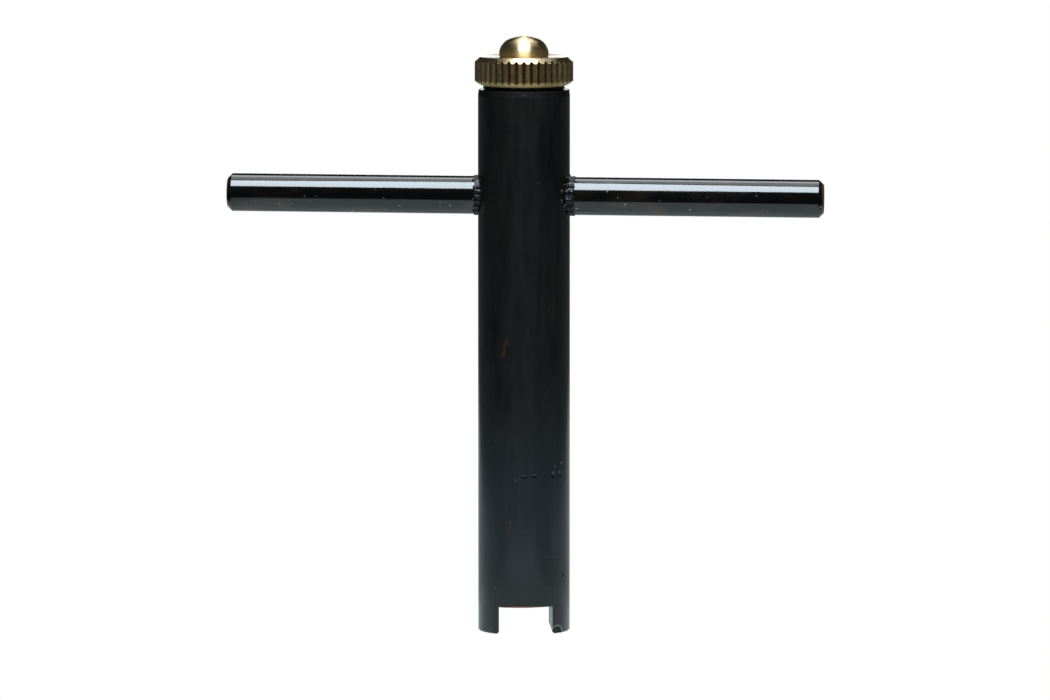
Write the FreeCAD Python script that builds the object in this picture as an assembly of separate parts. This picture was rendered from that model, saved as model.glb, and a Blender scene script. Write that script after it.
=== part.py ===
import FreeCAD, Part
import math
import os

# T-handled tubular wrench. Millimetres. +Z runs up the tube, +X along the right-hand half of the cross
# bar. The origin is on the tube's axis, in the plane of the two prong tips.

# Tube
TUBE_R = 7.5
TUBE_TOP_Z = 88.75
TOP_TAPER_IN = 0.1
TOP_TAPER_DOWN = 1.0
TOP_EDGE_CHAMFER = 0.06
FOOT_CHAMFER = 0.18
SOCKET_R = 4.0
SOCKET_END_Z = 30.0
STORE_R = 2.0
TAPPED_R = 5.06
TAPPED_END_Z = 76.65
MOUTH_CHAMFER = 0.5
DRILL_SLOPE = math.tan(math.radians(31.0))

# Drive slot across the lower end
SLOT_WIDTH = 8.75
SLOT_DEPTH = 4.5
SLOT_TURN_DEG = 7.2
SLOT_ROOF_SLOPE = 0.013
SLOT_BEVEL = 0.35

# Cross bar
BAR_R = 3.1
BAR_HALF_LENGTH = 48.76
BAR_OFF_CENTRE = 0.18
BAR_Z = 71.36
BAR_TILT_DEG = 0.32
BAR_CHAMFER = 0.75

# Weld beads, as flared collars round the bar
WELD_FLARE_R = 3.9
WELD_TOE_R = 3.25
LEFT_WELD_REACH = 0.8
RIGHT_WELD_REACH = 1.1
WELD_ROOT_X = 5.4

# O-ring squashed between tube and knob
RING_HEIGHT = 0.54
RING_MID_R = 5.95
RING_HALF_FLAT = 0.2
RING_HALF_WIDTH = 0.75

# Brass knob
DISC_R = 8.04
DISC_HEIGHT = 4.81
DISC_TOP_CHAMFER = 0.8
DISC_FOOT_R = 6.66
DISC_FOOT_MID_R = 7.5
DISC_FOOT_MID_HEIGHT = 0.42
DISC_FOOT_CHAMFER = 0.86
KNURL_COUNT = 40
KNURL_DEPTH = 0.44
DOME_R = 4.05
DOME_NECK_R = 3.92
DOME_NECK_HEIGHT = 0.08
DOME_BAND = 0.35
DOME_RISE = 2.85
DOME_SHOULDER_R = 2.62
THREAD_R = 5.0
THREAD_PITCH = 1.0
THREAD_DEPTH = 0.54
THREAD_END_Z = 80.25
THREAD_TOP_Z = 87.55
RELIEF_R = 4.4
SPIGOT_CHAMFER = 0.6
PICK_HOLE_TOP_Z = 87.45

# Pick
PICK_R = 1.0
PICK_HOLE_CLEARANCE = 0.03
PICK_TOP_Z = 87.25
PICK_TAPER_Z = 56.0
PICK_POINT_Z = 41.0
PICK_END_Z = 40.0
PICK_POINT_R = 0.4
PICK_END_R = 0.12

# Small marks of use on the tube: each is (angle round from -Y towards +X, height)
PUNCH_MARKS = [(5.8, 25.85), (17.5, 25.93), (43.3, 25.76), (55.4, 25.83)]
PUNCH_LENGTH = 0.9
PUNCH_THICKNESS = 0.17
PUNCH_DEPTH = 0.25
GASH_PLACE = (62.5, 9.4)
GASH_LENGTH = 0.8
GASH_THICKNESS = 0.3
GASH_LEAN_DEG = 65.0
CHIP_PLACES = [(53.4, 0.1), (143.0, 0.0)]
CHIP_TOOL_R = 2.0
CHIP_DEPTHS = [0.34, 0.24]
NICK_ANGLE = -43.3
NICK_TOOL_R = 0.3
NICK_DEPTH = 0.06
NICK_HEIGHT = 1.0

UP = FreeCAD.Vector(0, 0, 1)
ORIGIN = FreeCAD.Vector(0, 0, 0)


def revolve(points):
    """A solid of revolution about Z from (radius, height) points, closed along the axis side."""
    corners = [FreeCAD.Vector(r, 0, z) for r, z in points]
    wire = Part.makePolygon(corners + corners[:1])
    return Part.Face(wire).revolve(ORIGIN, UP, 360)


def bar_direction():
    """The cross bar's axis, which dips a little towards +X."""
    tilt = math.radians(BAR_TILT_DEG)
    return FreeCAD.Vector(math.cos(tilt), 0, -math.sin(tilt))


def along_bar(distance):
    """The point on the bar's axis this far from the tube's axis."""
    return FreeCAD.Vector(0, 0, BAR_Z) + bar_direction() * distance


def on_tube(angle_deg, height, radius):
    """A point at this angle from -Y towards +X, this height and this distance from the tube's axis."""
    angle = math.radians(angle_deg)
    return FreeCAD.Vector(radius * math.sin(angle), -radius * math.cos(angle), height)


def tube_blank():
    """The outside of the tube, with its tapered top edge and chamfered foot."""
    return revolve([
        (0, 0),
        (TUBE_R - FOOT_CHAMFER, 0),
        (TUBE_R, FOOT_CHAMFER),
        (TUBE_R, TUBE_TOP_Z - TOP_TAPER_DOWN),
        (TUBE_R - TOP_TAPER_IN, TUBE_TOP_Z - TOP_EDGE_CHAMFER),
        (TUBE_R - TOP_TAPER_IN - TOP_EDGE_CHAMFER, TUBE_TOP_Z),
        (0, TUBE_TOP_Z),
    ])


def tube_bores():
    """Everything drilled down the axis: the socket, the pick's store and the tapping drill's hole."""
    past = 1.0
    socket_tip_z = SOCKET_END_Z + (SOCKET_R - STORE_R) * DRILL_SLOPE
    tapped_tip_z = TAPPED_END_Z - (TAPPED_R - STORE_R) * DRILL_SLOPE
    return revolve([
        (0, -past),
        (SOCKET_R, -past),
        (SOCKET_R, SOCKET_END_Z),
        (STORE_R, socket_tip_z),
        (STORE_R, tapped_tip_z),
        (TAPPED_R, TAPPED_END_Z),
        (TAPPED_R, TUBE_TOP_Z - MOUTH_CHAMFER),
        (TAPPED_R + MOUTH_CHAMFER + past, TUBE_TOP_Z + past),
        (0, TUBE_TOP_Z + past),
    ])


def drive_slot():
    """The slot's space, right across the tube, with its mouth bevelled, turned a little from the bar."""
    half = SLOT_WIDTH / 2
    past = 1.0
    reach = TUBE_R + past
    rise = half * SLOT_ROOF_SLOPE
    outline = [
        (-half - SLOT_BEVEL - past, -past),
        (half + SLOT_BEVEL + past, -past),
        (half, SLOT_BEVEL),
        (half, SLOT_DEPTH + rise),
        (-half, SLOT_DEPTH - rise),
        (-half, SLOT_BEVEL),
    ]
    corners = [FreeCAD.Vector(x, -reach, z) for x, z in outline]
    wire = Part.makePolygon(corners + corners[:1])
    space = Part.Face(wire).extrude(FreeCAD.Vector(0, 2 * reach, 0))
    space.rotate(ORIGIN, UP, SLOT_TURN_DEG)
    return space


def cut_mark(angle_deg, height, length, thickness, lean_deg=0.0):
    """A short narrow cut into the tube's side, level or leaning, as the block it takes away."""
    block = Part.makeBox(length, 2 * PUNCH_DEPTH, thickness)
    block.translate(FreeCAD.Vector(-length / 2, -TUBE_R - PUNCH_DEPTH, -thickness / 2))
    block.rotate(ORIGIN, FreeCAD.Vector(0, -1, 0), lean_deg)
    block.rotate(ORIGIN, UP, angle_deg)
    block.translate(UP * height)
    return block


def chip(angle_deg, height, depth):
    """A hollow chip, as a ball pressed into the tube's lower edge."""
    return Part.makeSphere(CHIP_TOOL_R, on_tube(angle_deg, height, TUBE_R - depth + CHIP_TOOL_R))


def nick():
    """A shallow upright groove in the lower edge of the left prong."""
    foot = on_tube(NICK_ANGLE, -NICK_HEIGHT, TUBE_R - NICK_DEPTH + NICK_TOOL_R)
    return Part.makeCylinder(NICK_TOOL_R, 2 * NICK_HEIGHT, foot)


def marks_of_use():
    """Every small cut, chip and nick in the tube."""
    marks = [cut_mark(angle, height, PUNCH_LENGTH, PUNCH_THICKNESS) for angle, height in PUNCH_MARKS]
    marks.append(cut_mark(*GASH_PLACE, GASH_LENGTH, GASH_THICKNESS, GASH_LEAN_DEG))
    for (angle, height), depth in zip(CHIP_PLACES, CHIP_DEPTHS):
        marks.append(chip(angle, height, depth))
    marks.append(nick())
    return marks


def bar_blank(radius, start, length):
    """A plain round bar on the cross bar's axis."""
    return Part.makeCylinder(radius, length, along_bar(start), bar_direction())


def barrel():
    """The tube, bored, slotted, cross-drilled for the bar and marked by use."""
    cross_hole = bar_blank(BAR_R, -2 * TUBE_R, 4 * TUBE_R)
    return tube_blank().cut([tube_bores(), drive_slot(), cross_hole] + marks_of_use())


def cross_bar():
    """The bar, a little off centre, with chamfered ends and the pick's store drilled through it."""
    body = bar_blank(BAR_R, BAR_OFF_CENTRE - BAR_HALF_LENGTH, 2 * BAR_HALF_LENGTH)
    rims = [edge for edge in body.Edges if len(edge.Vertexes) == 1]
    body = body.makeChamfer(BAR_CHAMFER, rims)
    store = Part.makeCylinder(STORE_R, 4 * BAR_R, FreeCAD.Vector(0, 0, BAR_Z - 2 * BAR_R))
    return body.cut(store)


def weld_bead(side, reach):
    """A flared collar in the corner between bar and tube. Side is -1 for the left and 1 for the right."""
    length = TUBE_R + reach - WELD_ROOT_X
    direction = bar_direction() * side
    start = along_bar(side * WELD_ROOT_X)
    collar = Part.makeCone(WELD_FLARE_R, WELD_TOE_R, length, start, direction)
    tube = Part.makeCylinder(TUBE_R, TUBE_TOP_Z)
    bar = bar_blank(BAR_R, -BAR_HALF_LENGTH, 2 * BAR_HALF_LENGTH)
    return collar.cut([tube, bar])


def o_ring():
    """A ring squashed to an oval section with small flats where it is gripped."""
    low, high = TUBE_TOP_Z, TUBE_TOP_Z + RING_HEIGHT
    middle = TUBE_TOP_Z + RING_HEIGHT / 2
    bulge = RING_HALF_WIDTH - RING_HALF_FLAT
    edges = []
    for side, start_deg in ((1, -90), (-1, 90)):
        centre = FreeCAD.Vector(RING_MID_R + side * RING_HALF_FLAT, 0, middle)
        tip = centre + FreeCAD.Vector(bulge, 0, 0)
        top = centre + FreeCAD.Vector(0, 0, RING_HEIGHT / 2)
        oval = Part.Ellipse(tip, top, centre)
        start = math.radians(start_deg)
        edges.append(Part.ArcOfEllipse(oval, start, start + math.pi).toShape())
    inner, outer = RING_MID_R - RING_HALF_FLAT, RING_MID_R + RING_HALF_FLAT
    for z in (low, high):
        edges.append(Part.makeLine(FreeCAD.Vector(inner, 0, z), FreeCAD.Vector(outer, 0, z)))
    section = Part.Face(Part.Wire(Part.__sortEdges__(edges)))
    return section.revolve(ORIGIN, UP, 360)


def knob_blank():
    """The knob before knurling: spigot, disc, and the domed button on a short undercut neck."""
    foot_z = TUBE_TOP_Z + RING_HEIGHT
    top_z = foot_z + DISC_HEIGHT
    rim_z = top_z - DISC_TOP_CHAMFER
    neck_z = top_z + DOME_NECK_HEIGHT
    band_z = neck_z + DOME_BAND
    turned = revolve([
        (0, THREAD_END_Z),
        (THREAD_R - SPIGOT_CHAMFER, THREAD_END_Z),
        (THREAD_R, THREAD_END_Z + SPIGOT_CHAMFER),
        (THREAD_R, THREAD_TOP_Z),
        (RELIEF_R, THREAD_TOP_Z + THREAD_R - RELIEF_R),
        (RELIEF_R, foot_z),
        (DISC_FOOT_R, foot_z),
        (DISC_FOOT_MID_R, foot_z + DISC_FOOT_MID_HEIGHT),
        (DISC_R, foot_z + DISC_FOOT_CHAMFER),
        (DISC_R, rim_z),
        (DISC_R - DISC_TOP_CHAMFER, top_z),
        (DOME_NECK_R, top_z),
        (DOME_NECK_R, neck_z),
        (DOME_R, neck_z),
        (DOME_R, band_z),
        (0, band_z),
    ])
    return turned.fuse(dome(band_z)).removeSplitter()


def arc_point(centre, radius, angle):
    """A point on an arc in the XZ plane, at an angle up from +X."""
    return centre + FreeCAD.Vector(radius * math.cos(angle), 0, radius * math.sin(angle))


def dome(base_z):
    """A domed button: a shoulder arc upright at its foot, tangent to a flatter crown arc."""
    shoulder = FreeCAD.Vector(DOME_R - DOME_SHOULDER_R, 0, base_z)
    shortfall = DOME_RISE - DOME_SHOULDER_R
    crown_r = (DOME_R ** 2 + DOME_RISE ** 2 - 2 * DOME_R * DOME_SHOULDER_R) / (2 * shortfall)
    crown = FreeCAD.Vector(0, 0, base_z + DOME_RISE - crown_r)
    join = math.atan2(shoulder.z - crown.z, shoulder.x)
    foot = arc_point(shoulder, DOME_SHOULDER_R, 0)
    meet = arc_point(shoulder, DOME_SHOULDER_R, join)
    top = arc_point(crown, crown_r, math.pi / 2)
    lower_arc = Part.Arc(foot, arc_point(shoulder, DOME_SHOULDER_R, join / 2), meet).toShape()
    upper_arc = Part.Arc(meet, arc_point(crown, crown_r, (join + math.pi / 2) / 2), top).toShape()
    centre = FreeCAD.Vector(0, 0, base_z)
    outline = Part.Wire([lower_arc, upper_arc, Part.makeLine(top, centre), Part.makeLine(centre, foot)])
    return Part.Face(outline).revolve(ORIGIN, UP, 360)


def knurl_grooves():
    """The upright V grooves round the disc."""
    foot_z = TUBE_TOP_Z + RING_HEIGHT
    past = 0.5
    depth = KNURL_DEPTH + past
    floor = FreeCAD.Vector(DISC_R - KNURL_DEPTH, 0, foot_z - past)
    left = floor + FreeCAD.Vector(depth, depth, 0)
    right = floor + FreeCAD.Vector(depth, -depth, 0)
    wedge = Part.Face(Part.makePolygon([floor, right, left, floor]))
    groove = wedge.extrude(UP * (DISC_HEIGHT + 2 * past))
    grooves = []
    for i in range(KNURL_COUNT):
        turned = groove.copy()
        turned.rotate(ORIGIN, UP, 360 * (i + 0.5) / KNURL_COUNT)
        grooves.append(turned)
    return grooves


def thread_groove():
    """The thread as the space it takes away: a 60 degree V along a helix, open past the crests."""
    past = 0.1
    half_width = (THREAD_DEPTH + past) * math.tan(math.radians(30))
    start_z = THREAD_END_Z - THREAD_PITCH
    height = THREAD_TOP_Z - THREAD_END_Z + 1.5 * THREAD_PITCH
    floor_r = THREAD_R - THREAD_DEPTH
    helix = Part.makeHelix(THREAD_PITCH, height, THREAD_R)
    helix.translate(UP * start_z)
    floor = FreeCAD.Vector(floor_r, 0, start_z)
    low = FreeCAD.Vector(THREAD_R + past, 0, start_z - half_width)
    high = FreeCAD.Vector(THREAD_R + past, 0, start_z + half_width)
    section = Part.makePolygon([floor, low, high, floor])
    return Part.Wire(helix.Edges).makePipeShell([section], True, True)


def knob():
    """The brass knob, knurled, threaded and drilled for the pick."""
    past = 1.0
    hole_r = PICK_R + PICK_HOLE_CLEARANCE
    hole_foot = FreeCAD.Vector(0, 0, THREAD_END_Z - past)
    hole = Part.makeCylinder(hole_r, PICK_HOLE_TOP_Z - THREAD_END_Z + past, hole_foot)
    return knob_blank().cut([hole, thread_groove()] + knurl_grooves())


def pick():
    """A round steel pick, tapered to a blunt point."""
    return revolve([
        (0, PICK_END_Z),
        (PICK_END_R, PICK_END_Z),
        (PICK_POINT_R, PICK_POINT_Z),
        (PICK_R, PICK_TAPER_Z),
        (PICK_R, PICK_TOP_Z),
        (0, PICK_TOP_Z),
    ])


def main():
    os.makedirs("parts", exist_ok=True)
    parts = {
        "barrel": barrel(),
        "cross_bar": cross_bar(),
        "left_weld": weld_bead(-1, LEFT_WELD_REACH),
        "right_weld": weld_bead(1, RIGHT_WELD_REACH),
        "o_ring": o_ring(),
        "knob": knob(),
        "pick": pick(),
    }
    for name, shape in parts.items():
        solids = len(shape.Solids)
        print(name, "solids", solids, "valid", shape.isValid(), "volume", round(shape.Volume, 2))
        shape.exportStep(f"parts/{name}.step")


main()
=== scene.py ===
import math
import random

import bmesh
import bpy
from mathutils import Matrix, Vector, noise

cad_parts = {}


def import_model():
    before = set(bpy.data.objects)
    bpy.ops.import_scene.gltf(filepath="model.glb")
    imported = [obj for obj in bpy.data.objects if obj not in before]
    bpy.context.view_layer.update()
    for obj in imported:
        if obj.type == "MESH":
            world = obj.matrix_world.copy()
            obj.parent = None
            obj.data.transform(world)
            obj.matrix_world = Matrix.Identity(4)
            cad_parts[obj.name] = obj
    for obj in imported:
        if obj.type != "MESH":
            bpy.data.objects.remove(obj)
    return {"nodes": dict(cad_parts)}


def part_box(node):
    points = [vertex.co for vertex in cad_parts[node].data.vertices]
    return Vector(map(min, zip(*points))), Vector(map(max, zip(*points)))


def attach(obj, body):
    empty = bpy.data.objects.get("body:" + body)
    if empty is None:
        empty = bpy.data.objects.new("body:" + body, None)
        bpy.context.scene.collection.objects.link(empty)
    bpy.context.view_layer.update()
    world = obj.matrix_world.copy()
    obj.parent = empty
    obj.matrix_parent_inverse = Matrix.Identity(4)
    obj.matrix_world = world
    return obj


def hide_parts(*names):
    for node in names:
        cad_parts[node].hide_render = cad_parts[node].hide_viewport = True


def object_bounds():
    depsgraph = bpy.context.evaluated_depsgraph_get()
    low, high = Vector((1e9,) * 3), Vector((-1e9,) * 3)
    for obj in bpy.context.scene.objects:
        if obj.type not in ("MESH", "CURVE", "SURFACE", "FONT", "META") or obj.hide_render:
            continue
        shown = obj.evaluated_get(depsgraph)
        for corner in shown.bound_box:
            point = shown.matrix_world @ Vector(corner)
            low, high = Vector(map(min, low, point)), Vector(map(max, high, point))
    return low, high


# The looks of a T-handled tube wrench: blackened steel tube and bar, rough weld beads, brass knob.
# Everything is in metres, in the CAD model's frame: +Z up the tube, +X along the right-hand arm.

MM = 0.001
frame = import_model()
nodes = frame["nodes"]
cad_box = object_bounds()


# ---------------------------------------------------------------- node helpers

def material(name):
    """A new node material: the material, its node tree and its Principled node."""
    made = bpy.data.materials.new(name)
    made.use_nodes = True
    tree = made.node_tree
    shader = tree.nodes["Principled BSDF"]
    return made, tree, shader


def add(tree, kind, **settings):
    """A node of this kind with some of its properties set."""
    node = tree.nodes.new(kind)
    for key, value in settings.items():
        setattr(node, key, value)
    return node


def link(tree, source, target):
    """Joins an output socket to an input socket."""
    tree.links.new(source, target)


def scaled_place(tree, scale):
    """The object's own coordinates, scaled along each axis."""
    place = add(tree, "ShaderNodeTexCoord")
    mapping = add(tree, "ShaderNodeMapping")
    mapping.inputs["Scale"].default_value = scale
    link(tree, place.outputs["Object"], mapping.inputs["Vector"])
    return mapping.outputs["Vector"]


def object_place(tree):
    """The object's own coordinates, split into X, Y and Z."""
    place = add(tree, "ShaderNodeTexCoord")
    split = add(tree, "ShaderNodeSeparateXYZ")
    link(tree, place.outputs["Object"], split.inputs["Vector"])
    return split.outputs


def noise_value(tree, scale, detail=4.0, rough=0.5, stretch=(1, 1, 1), shift=0.0):
    """A noise texture's value. Scale is in waves per metre."""
    texture = add(tree, "ShaderNodeTexNoise")
    texture.inputs["Scale"].default_value = scale
    texture.inputs["Detail"].default_value = detail
    texture.inputs["Roughness"].default_value = rough
    place = scaled_place(tree, stretch)
    if shift:
        place.node.inputs["Location"].default_value = (shift, shift, shift)
    link(tree, place, texture.inputs["Vector"])
    return texture.outputs["Fac"]


def ramp(tree, value, low, high, out_low=0.0, out_high=1.0):
    """Value mapped from low..high to out_low..out_high and clamped."""
    node = add(tree, "ShaderNodeMapRange")
    limits = {"From Min": low, "From Max": high, "To Min": out_low, "To Max": out_high}
    for key, number in limits.items():
        node.inputs[key].default_value = number
    link(tree, value, node.inputs["Value"])
    return node.outputs["Result"]


def math_node(tree, operation, a, b):
    """One sum on two values, each a socket or a number."""
    node = add(tree, "ShaderNodeMath", operation=operation)
    for socket, value in zip(node.inputs, (a, b)):
        if isinstance(value, (int, float)):
            socket.default_value = value
        else:
            link(tree, value, socket)
    return node.outputs["Value"]


def times(tree, a, b):
    """The product of two values, as a mask of where both hold."""
    return math_node(tree, "MULTIPLY", a, b)


def larger(tree, a, b):
    """The larger of two values, as a mask of where either holds."""
    return math_node(tree, "MAXIMUM", a, b)


def mix_colour(tree, share, first, second):
    """A colour between two, each a socket or a colour."""
    node = add(tree, "ShaderNodeMix", data_type="RGBA")
    link(tree, share, node.inputs["Factor"])
    colours = [s for s in node.inputs if s.type == "RGBA"]
    for socket, value in zip(colours, (first, second)):
        if isinstance(value, tuple):
            socket.default_value = (*value, 1.0)
        else:
            link(tree, value, socket)
    return [s for s in node.outputs if s.type == "RGBA"][0]


def bump(tree, height, depth, normal=None):
    """A bump normal from a height that is worth this depth in metres."""
    node = add(tree, "ShaderNodeBump")
    node.inputs["Strength"].default_value = 1.0
    node.inputs["Distance"].default_value = depth
    link(tree, height, node.inputs["Height"])
    if normal is not None:
        link(tree, normal, node.inputs["Normal"])
    return node.outputs["Normal"]


# ---------------------------------------------------------------- masks

def flecks(tree, scale, size, stretch, shift, keep):
    """Sparse small marks: 1 inside a mark and 0 outside."""
    cells = add(tree, "ShaderNodeTexVoronoi")
    cells.inputs["Scale"].default_value = scale
    place = scaled_place(tree, stretch)
    place.node.inputs["Location"].default_value = (shift, shift * 0.7, shift * 0.3)
    link(tree, place, cells.inputs["Vector"])
    near = ramp(tree, cells.outputs["Distance"], size * 0.5, size, 1.0, 0.0)
    chosen = add(tree, "ShaderNodeSeparateColor")
    link(tree, cells.outputs["Color"], chosen.inputs["Color"])
    kept = math_node(tree, "GREATER_THAN", chosen.outputs["Red"], 1.0 - keep)
    return times(tree, near, kept)


def from_axis(tree):
    """The distance from the tube's axis."""
    place = add(tree, "ShaderNodeTexCoord")
    flat = add(tree, "ShaderNodeVectorMath", operation="MULTIPLY")
    flat.inputs[1].default_value = (1, 1, 0)
    link(tree, place.outputs["Object"], flat.inputs[0])
    length = add(tree, "ShaderNodeVectorMath", operation="LENGTH")
    link(tree, flat.outputs["Vector"], length.inputs["Vector"])
    return length.outputs["Value"]


def height_up(tree):
    """The height above the prong tips."""
    return object_place(tree)["Z"]


def tube_oval(tree, radius, angle_deg, height, half_across, half_up, lean_deg):
    """The distance from an oval's centre on the tube's side, as a share of its half sizes.

    The angle runs from -Y towards +X; sizes are in mm.
    """
    angle = math.radians(angle_deg)
    centre = (radius * math.sin(angle), -radius * math.cos(angle), height * MM)
    place = add(tree, "ShaderNodeTexCoord")
    oval = add(tree, "ShaderNodeMapping", vector_type="TEXTURE")
    oval.inputs["Location"].default_value = centre
    oval.inputs["Rotation"].default_value = (0, math.radians(lean_deg), angle)
    oval.inputs["Scale"].default_value = (half_across * MM, 1.0 * MM, half_up * MM)
    link(tree, place.outputs["Object"], oval.inputs["Vector"])
    length = add(tree, "ShaderNodeVectorMath", operation="LENGTH")
    link(tree, oval.outputs["Vector"], length.inputs["Vector"])
    return length.outputs["Value"]


def tube_mark(tree, radius, *shape):
    """1 inside a soft-edged oval on the tube's side."""
    return ramp(tree, tube_oval(tree, radius, *shape), 0.6, 1.1, 1.0, 0.0)


def all_marks(tree, radius, marks):
    """Several marks in one mask, each at its own strength."""
    total = None
    for *shape, strength in marks:
        mask = times(tree, tube_mark(tree, radius, *shape), strength)
        total = mask if total is None else larger(tree, total, mask)
    return total


# ---------------------------------------------------------------- materials

# Marks on the tube. Each is (angle, height, half across, half up, lean, strength), in degrees and mm.
PALE_MARKS_AND_RIM_HIGHLIGHT = [
    (-6.7, 25.4, 0.55, 0.07, 50, 0.35),
    (-34.8, 31.7, 0.40, 0.06, 10, 0.35),
    (-44.4, 55.7, 0.12, 0.12, 0, 0.35),
    (-34.0, 53.8, 0.10, 0.16, 0, 0.30),
    (32.6, 12.7, 0.16, 0.10, 0, 0.40),
    (46.5, 12.6, 0.14, 0.10, 0, 0.40),
    (39.4, 7.4, 0.34, 0.05, 0, 0.45),
    (47.5, 6.9, 0.10, 0.22, -30, 0.40),
    (59.3, 5.0, 0.14, 0.14, 0, 0.50),
    (-35.3, 7.6, 0.16, 0.22, 0, 0.35),
    (22.3, 73.9, 0.16, 0.16, 0, 0.25),
    (59.1, 28.0, 0.32, 0.14, -20, 0.80),
    (47.0, 27.5, 0.16, 0.24, 0, 0.55),
    (44.0, 26.5, 0.28, 0.24, 0, 0.50),
    (55.4, 26.5, 0.34, 0.26, 0, 0.50),
    (5.0, 26.2, 0.50, 0.10, 0, 0.20),
    (17.5, 26.3, 0.50, 0.10, 0, 0.25),
    # Not a mark: a painted highlight on the front of the tube's top rim
    (4.6, 88.25, 0.28, 0.06, 0, 0.50),
    (-43.5, 0.45, 0.12, 0.55, 0, 0.55),
]
DARK_MARKS = [
    (5.8, 25.85, 0.55, 0.17, 0, 1.0),
    (17.5, 25.93, 0.55, 0.17, 0, 1.0),
    (43.3, 25.76, 0.50, 0.15, 0, 1.0),
    (55.4, 25.83, 0.50, 0.15, 0, 1.0),
]
BROWN_MARKS = [
    (-14.6, 17.3, 0.7, 1.8, 0, 0.9),
    (-20.0, 47.0, 0.5, 2.2, 20, 0.9),
    (-22.0, 20.5, 0.6, 0.8, 0, 0.8),
    (64.0, 26.8, 0.5, 0.10, 0, 0.9),
    (-70.0, 21.0, 0.9, 2.4, 0, 0.5),
]
# Single ovals, with no strength: the chip in the right prong's tip and the slot's brown upper edge
CHIP = (50.8, 0.0, 1.35, 1.30, 0)
SLOT_ROOF_EDGE = (7.2, 4.5, 4.8, 0.2, 0)


def black_tube():
    """Black oxide under a film of oil on a turned tube, paler where the working end has worn."""
    made, tree, shader = material("black_oxide_tube")
    tube_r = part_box("barrel")[1].y
    top_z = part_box("barrel")[1].z
    height = height_up(tree)
    radius = from_axis(tree)

    # Blotchy oxide, brownish in clouds, and greyer where it is worn, below about 30 mm
    mottle = noise_value(tree, 420, detail=6, rough=0.65, stretch=(1, 1, 0.3))
    cloud = noise_value(tree, 90, detail=3, shift=3.1)
    blotches = ramp(tree, mottle, 0.38, 0.64)
    colour = mix_colour(tree, blotches, (0.0002, 0.0002, 0.0002), (0.0050, 0.0052, 0.0050))
    brownish = ramp(tree, cloud, 0.46, 0.66, 0.0, 0.6)
    colour = mix_colour(tree, brownish, colour, (0.0072, 0.0052, 0.0036))
    worn = ramp(tree, height, 0.024, 0.040, 0.75, 0.0)
    worn = times(tree, worn, ramp(tree, height, 0.008, 0.016, 0.6, 1.0))
    colour = mix_colour(tree, worn, colour, (0.0105, 0.0165, 0.0190))

    # Brown strokes and specks, pale and dark marks, and a painted highlight on the front of the top rim
    strokes = noise_value(tree, 2200, detail=4, rough=0.7, stretch=(1, 1, 0.5), shift=2.6)
    brown = times(tree, all_marks(tree, tube_r, BROWN_MARKS), ramp(tree, strokes, 0.50, 0.60))
    colour = mix_colour(tree, brown, colour, (0.055, 0.030, 0.015))
    specks = flecks(tree, 1100, 0.20, (1, 1, 0.8), 4.1, keep=0.30)
    specks = times(tree, specks, ramp(tree, cloud, 0.42, 0.60))
    colour = mix_colour(tree, times(tree, specks, 0.5), colour, (0.034, 0.027, 0.020))
    colour = mix_colour(tree, all_marks(tree, tube_r, PALE_MARKS_AND_RIM_HIGHLIGHT), colour, (0.145, 0.160, 0.165))
    dark = all_marks(tree, tube_r, DARK_MARKS)
    colour = mix_colour(tree, dark, colour, (0.0002, 0.0002, 0.0002))
    colour = mix_colour(tree, tube_mark(tree, tube_r, *SLOT_ROOF_EDGE), colour, (0.20, 0.09, 0.04))

    # The chip: its inside painted near-black as shade, ringed by a bright burr
    chip_place = tube_oval(tree, tube_r, *CHIP)
    chip_painted_shade = ramp(tree, chip_place, 0.86, 0.94, 1.0, 0.0)
    burr = times(tree, ramp(tree, chip_place, 0.90, 0.96), ramp(tree, chip_place, 1.06, 1.14, 1.0, 0.0))
    colour = mix_colour(tree, burr, colour, (0.15, 0.165, 0.15))
    colour = mix_colour(tree, chip_painted_shade, colour, (0.0012, 0.0012, 0.0012))
    link(tree, colour, shader.inputs["Base Color"])

    # Less oil on cut faces, and none on the tapered top edge, in the chip or in the dark marks
    inner = ramp(tree, radius, tube_r - 0.16 * MM, tube_r - 0.08 * MM, 1.0, 0.0)
    rim = ramp(tree, height, top_z - 1.3 * MM, top_z - 0.9 * MM)
    rim = times(tree, rim, ramp(tree, radius, tube_r - 0.16 * MM, tube_r - 0.12 * MM))
    dry = larger(tree, times(tree, inner, 0.65), rim)
    dry = larger(tree, larger(tree, dry, chip_painted_shade), dark)
    oily = ramp(tree, mottle, 0.35, 0.65, 1.0, 0.78)
    coat = times(tree, oily, math_node(tree, "SUBTRACT", 1.0, dry))
    link(tree, coat, shader.inputs["Coat Weight"])
    shader.inputs["Coat Roughness"].default_value = 0.10
    shader.inputs["Coat IOR"].default_value = 1.30

    streak = noise_value(tree, 900, detail=5, rough=0.65, stretch=(1, 1, 0.08))
    satin = ramp(tree, streak, 0.35, 0.65, 0.42, 0.54)
    link(tree, larger(tree, satin, times(tree, dry, 0.5)), shader.inputs["Roughness"])
    shader.inputs["IOR"].default_value = 1.40

    # Turning rings near the top, and fine grain all over
    rings = noise_value(tree, 3600, detail=2, stretch=(0.02, 0.02, 1))
    rings = times(tree, rings, ramp(tree, height, 0.083, 0.087))
    grain = noise_value(tree, 2600, detail=5, rough=0.7)
    normal = bump(tree, rings, 0.000008)
    normal = bump(tree, grain, 0.0000016, normal=normal)
    link(tree, normal, shader.inputs["Normal"])
    link(tree, normal, shader.inputs["Coat Normal"])
    return made


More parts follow.
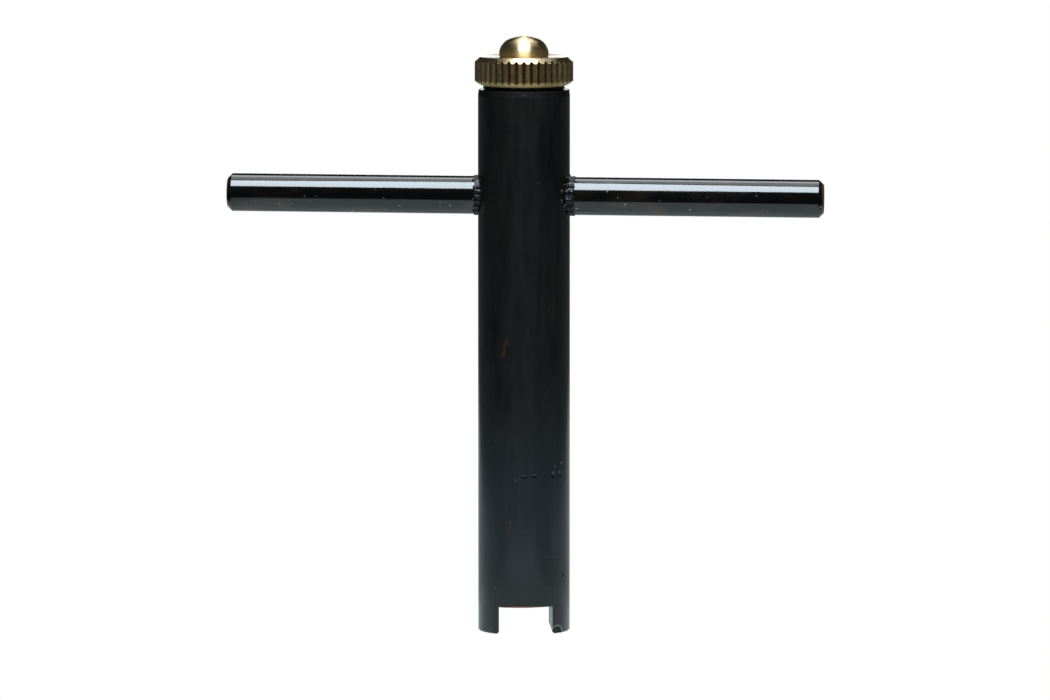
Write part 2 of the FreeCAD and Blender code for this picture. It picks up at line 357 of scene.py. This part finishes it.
def black_bar():
    """Black oxide on a smooth drawn bar: glossy and pitted, with brown patches and pale nicks low down."""
    made, tree, shader = material("black_oxide_bar")
    low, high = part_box("cross_bar")
    middle = (low + high) / 2
    half_length = (high.x - low.x) / 2
    place = object_place(tree)
    mottle = noise_value(tree, 500, detail=5, rough=0.6, stretch=(0.3, 1, 1))
    blotches = ramp(tree, mottle, 0.3, 0.7)
    colour = mix_colour(tree, blotches, (0.0013, 0.0014, 0.0013), (0.0030, 0.0034, 0.0034))
    under = ramp(tree, place["Z"], middle.z - 1.5 * MM, middle.z - 0.7 * MM, 1.0, 0.12)
    patches = noise_value(tree, 160, detail=4, rough=0.6, stretch=(0.6, 1, 1), shift=5.2)
    patches = times(tree, ramp(tree, patches, 0.48, 0.62, 0.0, 0.9), under)
    colour = mix_colour(tree, patches, colour, (0.075, 0.049, 0.030))
    nicks = flecks(tree, 950, 0.16, (0.8, 1, 1), 2.3, keep=0.30)
    colour = mix_colour(tree, times(tree, nicks, under), colour, (0.60, 0.64, 0.64))
    along = math_node(tree, "ABSOLUTE", math_node(tree, "SUBTRACT", place["X"], middle.x), 0.0)
    end_face = ramp(tree, along, half_length - 0.26 * MM, half_length - 0.16 * MM, 0.0, 0.9)
    colour = mix_colour(tree, end_face, colour, (0.085, 0.041, 0.021))
    link(tree, colour, shader.inputs["Base Color"])
    shader.inputs["IOR"].default_value = 1.62
    streak = noise_value(tree, 1500, detail=4, rough=0.6, stretch=(0.06, 1, 1))
    link(tree, ramp(tree, streak, 0.3, 0.75, 0.07, 0.14), shader.inputs["Roughness"])
    pits = flecks(tree, 650, 0.12, (0.55, 1, 1), 0.9, keep=0.3)
    grain = noise_value(tree, 2200, detail=4, rough=0.6, stretch=(0.5, 1, 1))
    swell = noise_value(tree, 420, detail=3, rough=0.5, stretch=(0.5, 1, 1), shift=1.7)
    normal = bump(tree, swell, 0.0000120)
    normal = bump(tree, grain, 0.0000012, normal=normal)
    normal = bump(tree, pits, -0.000024, normal=normal)
    link(tree, normal, shader.inputs["Normal"])
    return made


def weld_metal():
    """Blackened weld metal: glossy and pitted."""
    made, tree, shader = material("weld_bead")
    mottle = noise_value(tree, 1800, detail=5, rough=0.6)
    blotches = ramp(tree, mottle, 0.3, 0.75)
    colour = mix_colour(tree, blotches, (0.0016, 0.0015, 0.0014), (0.006, 0.0058, 0.0056))
    link(tree, colour, shader.inputs["Base Color"])
    shader.inputs["IOR"].default_value = 1.42
    link(tree, ramp(tree, mottle, 0.3, 0.7, 0.2, 0.45), shader.inputs["Roughness"])
    grain = noise_value(tree, 3800, detail=4, rough=0.65)
    link(tree, bump(tree, grain, 0.000006), shader.inputs["Normal"])
    return made


def knurl_mask(tree):
    """1 on the knob's knurled rim and 0 on its turned faces."""
    disc_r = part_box("knob")[1].y
    facing = add(tree, "ShaderNodeNewGeometry")
    split = add(tree, "ShaderNodeSeparateXYZ")
    link(tree, facing.outputs["True Normal"], split.inputs["Vector"])
    upright = ramp(tree, math_node(tree, "ABSOLUTE", split.outputs["Z"], 0.0), 0.15, 0.3, 1.0, 0.0)
    outer = ramp(tree, from_axis(tree), disc_r - 0.7 * MM, disc_r - 0.6 * MM)
    return times(tree, outer, upright)


def brass():
    """Lathe-turned brass: fine rings spread highlights up and down, but the rolled knurl is sharp."""
    made, tree, shader = material("turned_brass")
    disc_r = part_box("knob")[1].y
    foot_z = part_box("barrel")[1].z
    dome_height = 3.2 * MM
    dome_foot_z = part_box("knob")[1].z - dome_height
    height = height_up(tree)
    knurled = knurl_mask(tree)
    foot = ramp(tree, height, foot_z + 1.2 * MM, foot_z + 1.7 * MM, 1.0, 0.0)
    dome = ramp(tree, height, dome_foot_z, dome_foot_z + 0.2 * MM)

    # Lightly tarnished turned faces, a foot painted brighter as light from below, and a rim with painted
    # shade in the knurl's valleys
    tarnish = noise_value(tree, 420, detail=6, rough=0.65)
    turned_colour = mix_colour(tree, ramp(tree, tarnish, 0.35, 0.75), (0.78, 0.60, 0.34), (0.66, 0.49, 0.26))
    # The foot's brighter colour is painted light from below, not a different brass
    turned_colour = mix_colour(tree, foot, turned_colour, (1.0, 0.74, 0.36))
    grime = noise_value(tree, 3200, detail=5, rough=0.7, shift=0.4)
    rim_colour = mix_colour(tree, ramp(tree, grime, 0.4, 0.6), (0.56, 0.39, 0.16), (0.95, 0.70, 0.34))
    # Below the crests the knurl's valleys are painted dark brown as shade
    crest = ramp(tree, from_axis(tree), disc_r - 0.40 * MM, disc_r - 0.12 * MM)
    rim_colour = mix_colour(tree, crest, (0.20, 0.135, 0.055), rim_colour)
    link(tree, mix_colour(tree, knurled, turned_colour, rim_colour), shader.inputs["Base Color"])

    # Duller at the foot and on the dome, and an even polish on the knurl
    knurl_polish = 0.18
    wear = noise_value(tree, 1600, detail=4, rough=0.5, stretch=(0.2, 0.2, 1))
    dull = times(tree, foot, 0.32)
    turned = math_node(tree, "ADD", ramp(tree, wear, 0.3, 0.75, 0.25, 0.30), dull)
    turned = math_node(tree, "ADD", turned, times(tree, dome, 0.10))
    knurl_drop = times(tree, knurled, math_node(tree, "SUBTRACT", turned, knurl_polish))
    link(tree, math_node(tree, "SUBTRACT", turned, knurl_drop), shader.inputs["Roughness"])
    # The foot loses most of its metal look so that its painted light shows; the knurl loses a little for
    # oxide
    oxide_and_painted_foot_light = larger(tree, times(tree, knurled, 0.045), times(tree, dull, 0.9))
    link(tree, math_node(tree, "SUBTRACT", 1.0, oxide_and_painted_foot_light), shader.inputs["Metallic"])
    shader.inputs["Anisotropic"].default_value = 0.9
    shader.inputs["Anisotropic Rotation"].default_value = 0.25
    tangent = add(tree, "ShaderNodeTangent", direction_type="RADIAL", axis="Z")
    link(tree, tangent.outputs["Tangent"], shader.inputs["Tangent"])
    rings = noise_value(tree, 9000, detail=2, stretch=(0.01, 0.01, 1))
    chatter = noise_value(tree, 4200, detail=4, rough=0.7, stretch=(1, 1, 0.5))
    normal = bump(tree, rings, 0.0000012)
    normal = bump(tree, times(tree, chatter, knurled), 0.00006, normal=normal)
    link(tree, normal, shader.inputs["Normal"])
    return made


def rubber():
    """Black nitrile rubber."""
    made, tree, shader = material("black_rubber")
    mottle = noise_value(tree, 1600, detail=4)
    colour = mix_colour(tree, ramp(tree, mottle, 0.3, 0.7), (0.006, 0.006, 0.006), (0.014, 0.014, 0.014))
    link(tree, colour, shader.inputs["Base Color"])
    link(tree, ramp(tree, mottle, 0.3, 0.7, 0.24, 0.36), shader.inputs["Roughness"])
    link(tree, bump(tree, noise_value(tree, 6000, detail=3), 0.000006), shader.inputs["Normal"])
    return made


def bright_steel():
    """Bright drawn steel wire with lengthwise drawing marks."""
    made, tree, shader = material("bright_steel")
    mottle = noise_value(tree, 900, detail=4)
    colour = mix_colour(tree, ramp(tree, mottle, 0.3, 0.7), (0.55, 0.55, 0.56), (0.42, 0.42, 0.43))
    link(tree, colour, shader.inputs["Base Color"])
    shader.inputs["Metallic"].default_value = 1.0
    drawn = noise_value(tree, 6000, detail=3, stretch=(1, 1, 0.02))
    link(tree, ramp(tree, drawn, 0.3, 0.7, 0.32, 0.48), shader.inputs["Roughness"])
    link(tree, bump(tree, drawn, 0.000004), shader.inputs["Normal"])
    return made


# ---------------------------------------------------------------- weld beads

WELD_GLOBULES = 17
WELD_SKIN_STEPS = 44
SKIN_BALL_R = 0.36 * MM
SKIN_DEPTH = 0.24 * MM
SKIN_STEP = 0.25 * MM
SKIN_SHORTFALL = 0.3 * MM
GLOBULE_STEP = 0.7 * MM
GLOBULE_PROUD = 0.22 * MM
TOELESS_SHIFT = 0.3 * MM
TOE_SINK = 0.12 * MM
VOXEL = 0.055 * MM
ROUGH_DEPTH = 0.05 * MM
ROUGH_SCALE = 900


def weld_bead(name, node, side, reach, toe, seed):
    """Globules of weld metal run together round the bar, voxel-remeshed and roughened.

    Reach is how far the bead runs out along the bar from the tube's side, and toe is how far it
    spreads over the tube beyond the bar.
    """
    rng = random.Random(seed)
    tube_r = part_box("barrel")[1].x
    bar_low, bar_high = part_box("cross_bar")
    bar_r = (bar_high.y - bar_low.y) / 2
    tilt = (bar_high.z - bar_low.z - 2 * bar_r) / 2 / bar_high.x
    bar_z = (bar_high.z + bar_low.z) / 2 - side * tilt * tube_r
    mesh = bmesh.new()

    # A thin skin all round the corner, so that the bead has no gaps
    for i in range(WELD_SKIN_STEPS):
        outward, wall_x = bar_surface(2 * math.pi * i / WELD_SKIN_STEPS, bar_r, tube_r)
        span = tube_r + reach - wall_x
        steps = round(span / SKIN_STEP)
        for step in range(steps):
            x = wall_x + (step + 0.8) / steps * (span - SKIN_SHORTFALL)
            centre = Vector((side * x, 0, bar_z)) + outward * (bar_r - SKIN_DEPTH)
            add_ball(mesh, centre, SKIN_BALL_R, 2)

    # Globules over it, and a few more on the tube where the metal spreads
    for i in range(WELD_GLOBULES):
        around = 2 * math.pi * (i + rng.uniform(-0.2, 0.2)) / WELD_GLOBULES
        across = abs(math.cos(around))
        outward, wall_x = bar_surface(around, bar_r, tube_r)
        span = tube_r + reach - wall_x
        steps = max(2, round(span / GLOBULE_STEP))
        for step in range(steps):
            share = (step + rng.uniform(0.35, 0.75)) / steps
            radius = rng.uniform(0.46, 0.60) * MM * (1.0 - 0.15 * share)
            proud = toe * 0.4 * across * (1.0 - share) + rng.uniform(-0.05, 0.05) * MM
            x = wall_x + share * span - radius * 0.55 + max(0.0, TOELESS_SHIFT - 0.5 * toe)
            centre = Vector((side * x, 0, bar_z)) + outward * (bar_r + GLOBULE_PROUD - radius + proud)
            add_ball(mesh, centre, radius, 3)
        if toe > 0 and across > 0.45:
            spot = Vector((0, bar_r * math.cos(around), bar_z + bar_r * math.sin(around)))
            spot += outward * toe * rng.uniform(0.4, 1.0)
            add_ball(mesh, on_tube_surface(spot, tube_r - TOE_SINK, side), rng.uniform(0.3, 0.42) * MM, 3)

    piece = run_together(name, mesh)
    roughen(piece, ROUGH_DEPTH, ROUGH_SCALE, seed)
    piece.data.shade_smooth()
    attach(piece, "barrel")
    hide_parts(node)
    return piece


def bar_surface(around, bar_r, tube_r):
    """The outward direction at this angle round the bar, and how far out the tube's wall is there."""
    outward = Vector((0, math.cos(around), math.sin(around)))
    return outward, math.sqrt(tube_r * tube_r - (bar_r * math.cos(around)) ** 2)


def run_together(name, mesh):
    """One object from a heap of balls, voxel-remeshed and smoothed."""
    data = bpy.data.meshes.new(name)
    mesh.to_mesh(data)
    mesh.free()
    piece = bpy.data.objects.new(name, data)
    bpy.context.scene.collection.objects.link(piece)
    remesh = piece.modifiers.new("run_together", "REMESH")
    remesh.mode = "VOXEL"
    remesh.voxel_size = VOXEL
    smooth = piece.modifiers.new("melt", "SMOOTH")
    smooth.factor = 0.5
    smooth.iterations = 2
    freeze_modifiers(piece)
    return piece


def on_tube_surface(point, tube_r, side):
    """The nearest point on the tube's surface on that side."""
    y = max(-tube_r, min(tube_r, point.y))
    return Vector((side * math.sqrt(tube_r * tube_r - y * y), y, point.z))


def add_ball(mesh, centre, radius, subdivisions):
    """Adds a ball to a heap."""
    made = bmesh.ops.create_icosphere(mesh, subdivisions=subdivisions, radius=radius)
    bmesh.ops.translate(mesh, verts=made["verts"], vec=centre)


def freeze_modifiers(piece):
    """Replaces a piece's mesh with its modified one."""
    graph = bpy.context.evaluated_depsgraph_get()
    made = bpy.data.meshes.new_from_object(piece.evaluated_get(graph))
    piece.modifiers.clear()
    piece.data = made


def roughen(piece, depth, scale, seed):
    """Moves each vertex a little along its normal by smooth noise."""
    shift = Vector((seed * 1.37, seed * 0.71, seed * 2.13))
    vertices = piece.data.vertices
    normals = [vertex.normal.copy() for vertex in vertices]
    for vertex, normal in zip(vertices, normals):
        swell = noise.fractal(vertex.co * scale + shift, 1.0, 2.0, 3)
        vertex.co = vertex.co + normal * (depth * swell)


# ---------------------------------------------------------------- finish each node

def dress():
    """Gives every CAD node its finish."""
    finishes = {
        "barrel": black_tube(),
        "cross_bar": black_bar(),
        "o_ring": rubber(),
        "knob": brass(),
        "pick": bright_steel(),
    }
    for name, finish in finishes.items():
        for material_slot in nodes[name].material_slots:
            material_slot.material = finish


def welds():
    """Makes both weld beads, the right one wider and spread over the tube."""
    finish = weld_metal()
    for name, node, side, reach, toe, seed in (
        ("left_bead", "left_weld", -1, 0.55 * MM, 0.0, 11),
        ("right_bead", "right_weld", 1, 1.05 * MM, 0.65 * MM, 23),
    ):
        piece = weld_bead(name, node, side, reach, toe, seed)
        piece.data.materials.clear()
        piece.data.materials.append(finish)


# ---------------------------------------------------------------- stage and light

def to_camera(tree, otherwise, seen):
    """One shader for the camera's own rays and another for all the rest."""
    path = add(tree, "ShaderNodeLightPath")
    chooser = add(tree, "ShaderNodeMixShader")
    link(tree, path.outputs["Is Camera Ray"], chooser.inputs["Fac"])
    link(tree, otherwise, chooser.inputs[1])
    link(tree, seen, chooser.inputs[2])
    return chooser.outputs["Shader"]


def floor():
    """A plain pale floor, white to the camera.

    What glossy surfaces see in it fades away from the object: a wide patch around and behind it, a
    brighter strip ahead of it, and almost nothing nearer the camera than that.
    """
    ground = (0, 0, cad_box[0].z)
    bpy.ops.mesh.primitive_circle_add(vertices=96, radius=3.0, fill_type="NGON", location=ground)
    plane = bpy.context.object
    plane.name = "floor"
    made, tree, shader = material("pale_floor")
    tree.nodes.remove(shader)
    place = object_place(tree)
    sideways = math_node(tree, "ABSOLUTE", place["X"], 0.0)
    around = ramp(tree, sideways, 0.15, 0.235, 1.0, 0.0)
    around = times(tree, around, ramp(tree, place["X"], -0.04, 0.04, 0.52, 0.50))
    around = times(tree, around, ramp(tree, place["Y"], 0.26, 0.42, 1.0, 0.0))
    around = times(tree, around, ramp(tree, place["Y"], -0.08, -0.01, 0.2, 1.0))
    ahead = ramp(tree, sideways, 0.055, 0.08, 0.82, 0.0)
    ahead = times(tree, ahead, ramp(tree, place["Y"], 0.02, 0.08, 1.0, 0.0))
    glow = times(tree, larger(tree, around, ahead), ramp(tree, place["Y"], -0.145, -0.115, 0.02, 1.0))
    glow = math_node(tree, "ADD", glow, ramp(tree, place["Y"], 0.1, 0.4, 0.015, 0.07))
    pale = add(tree, "ShaderNodeEmission")
    pale.inputs["Color"].default_value = (0.82, 0.95, 1.0, 1)
    link(tree, glow, pale.inputs["Strength"])
    white = add(tree, "ShaderNodeEmission")
    white.inputs["Color"].default_value = (1, 1, 1, 1)
    white.inputs["Strength"].default_value = 1.0
    seen = to_camera(tree, pale.outputs["Emission"], white.outputs["Emission"])
    link(tree, seen, tree.nodes["Material Output"].inputs["Surface"])
    plane.data.materials.append(made)


def world():
    """White behind the object for the camera; for everything else a dim room with a low white backdrop."""
    made = bpy.data.worlds.new("studio")
    bpy.context.scene.world = made
    made.use_nodes = True
    tree = made.node_tree
    room = tree.nodes["Background"]
    place = add(tree, "ShaderNodeTexCoord")
    split = add(tree, "ShaderNodeSeparateXYZ")
    link(tree, place.outputs["Generated"], split.inputs["Vector"])
    up = split.outputs["Z"]
    low = times(tree, ramp(tree, up, 0.03, 0.06), ramp(tree, up, 0.13, 0.17, 1.0, 0.0))
    backdrop = times(tree, low, ramp(tree, split.outputs["Y"], 0.93, 0.99))
    link(tree, ramp(tree, backdrop, 0.0, 1.0, 0.03, 3.0), room.inputs["Strength"])
    room.inputs["Color"].default_value = (0.97, 0.99, 1.0, 1)
    white = add(tree, "ShaderNodeBackground")
    white.inputs["Strength"].default_value = 1.0
    seen = to_camera(tree, room.outputs["Background"], white.outputs["Background"])
    link(tree, seen, tree.nodes["World Output"].inputs["Surface"])


LIT_POINT = Vector((0, 0, 0.065))


def aim(thing, target, azimuth, elevation, distance):
    """Places a light or camera this far from a point, facing it. Azimuth runs from -Y towards +X."""
    a, e = math.radians(azimuth), math.radians(elevation)
    away = Vector((math.sin(a) * math.cos(e), -math.cos(a) * math.cos(e), math.sin(e)))
    thing.location = target + away * distance
    thing.rotation_mode = "QUATERNION"
    thing.rotation_quaternion = (-away).to_track_quat("-Z", "Y")


def softbox(name, azimuth, elevation, distance, width, height, radiance, colour):
    """A rectangular light aimed just below the cross bar, with its power worked out from a radiance."""
    light = bpy.data.lights.new(name, "AREA")
    light.shape = "RECTANGLE"
    light.size = width
    light.size_y = height
    light.energy = radiance * math.pi * width * height
    light.color = colour
    lamp = bpy.data.objects.new(name, light)
    bpy.context.scene.collection.objects.link(lamp)
    aim(lamp, LIT_POINT, azimuth, elevation, distance)
    lamp.visible_camera = False


def lights():
    """A large key light above the camera, and two weaker ones behind and overhead."""
    softbox("key", 4.5, 62.5, 0.62, 0.40, 0.42, 13.0, (0.85, 0.97, 1.06))
    softbox("behind", 180, 60, 0.62, 0.44, 0.20, 3.8, (0.92, 0.99, 1.03))
    softbox("overhead", 180, 82, 0.62, 0.44, 0.25, 2.2, (0.95, 0.99, 1.02))


# ---------------------------------------------------------------- camera

CAMERA_AZIMUTH = 4.5
CAMERA_ELEVATION = 5.6
CAMERA_DISTANCE = 1.308
CAMERA_LENS = 274.3
AIM = Vector((0.00017, 0, 0.04602))


def camera():
    """A long lens aimed near the tool's middle, from a little to its right and a little above."""
    data = bpy.data.cameras.new("camera")
    data.sensor_width = 36
    data.lens = CAMERA_LENS
    data.clip_start = 0.05
    data.clip_end = 20
    eye = bpy.data.objects.new("camera", data)
    bpy.context.scene.collection.objects.link(eye)
    aim(eye, AIM, CAMERA_AZIMUTH, CAMERA_ELEVATION, CAMERA_DISTANCE)
    bpy.context.scene.camera = eye


def picture():
    """Plain colour handling, so that whites stay white and blacks stay black."""
    bpy.context.scene.view_settings.view_transform = "Standard"


dress()
welds()
floor()
world()
lights()
camera()
picture()
